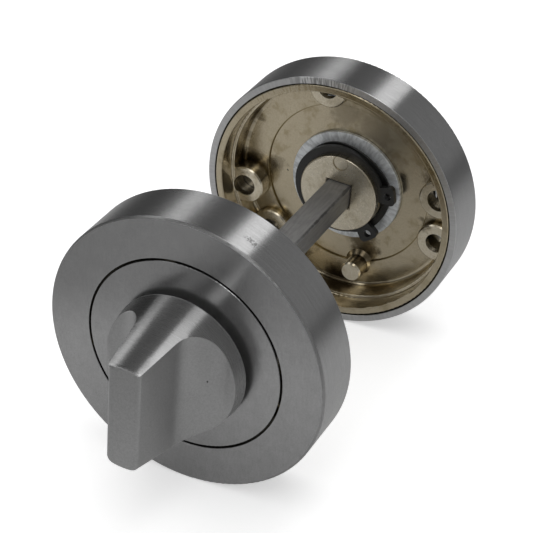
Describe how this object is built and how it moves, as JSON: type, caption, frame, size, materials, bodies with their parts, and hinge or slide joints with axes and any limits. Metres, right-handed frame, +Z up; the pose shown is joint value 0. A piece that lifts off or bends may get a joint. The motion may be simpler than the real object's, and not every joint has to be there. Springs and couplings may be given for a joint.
{
  "type": "bathroom thumb turn lock",
  "caption": "Bathroom thumb turn and coin release on round stainless roses, joined through the door by a square spindle.",
  "frame": {"origin": "on the spindle axis, in the plane where the inside rose meets the door", "axes": "+Y runs along the spindle from the thumb turn towards the outside rose, +Z is up, +X is to the right seen from the thumb turn"},
  "size_m": [0.052, 0.0874, 0.052],
  "materials": {
    "satin_stainless": "satin, brushed round the axis on the rims",
    "nickel_casting": "nickel plated die casting, glossy, slightly cream",
    "zinc_plate": "bright zinc plate, mottled",
    "black_spring_steel": "blackened spring steel",
    "spindle_steel": "drawn steel, dull grey"
  },
  "bodies": {
    "inside_rose": {"inside_cover": "satin_stainless", "inside_hub_disc": "satin_stainless", "inside_rose_plate": "nickel_casting", "inside_washer": "zinc_plate"},
    "turn": {"thumb_turn": "satin_stainless", "inside_circlip": "black_spring_steel", "inside_wave_washer": "black_spring_steel"},
    "outside_rose": {"outside_cover": "satin_stainless", "outside_hub_disc": "satin_stainless", "outside_rose_plate": "nickel_casting", "outside_washer": "zinc_plate"},
    "release": {"release_button": "nickel_casting", "outside_circlip": "black_spring_steel", "outside_wave_washer": "black_spring_steel", "spindle": "spindle_steel"}
  },
  "joints": [
    {"name": "turn_hinge", "type": "hinge", "parent": "inside_rose", "child": "turn", "pos_m": [0, 0, 0], "axis": [0, 1, 0], "range_deg": [-90, 90]},
    {"name": "door_slide", "type": "slide", "parent": "inside_rose", "child": "outside_rose", "axis": [0, 1, 0], "range_m": [-0.008, 0.005]},
    {"name": "release_hinge", "type": "hinge", "parent": "outside_rose", "child": "release", "pos_m": [0, 0.0455, 0], "axis": [0, 1, 0], "range_deg": [-90, 90]}
  ],
  "couplings": [
    {"joint": "release_hinge", "follows": "turn_hinge", "ratio": 1}
  ]
}
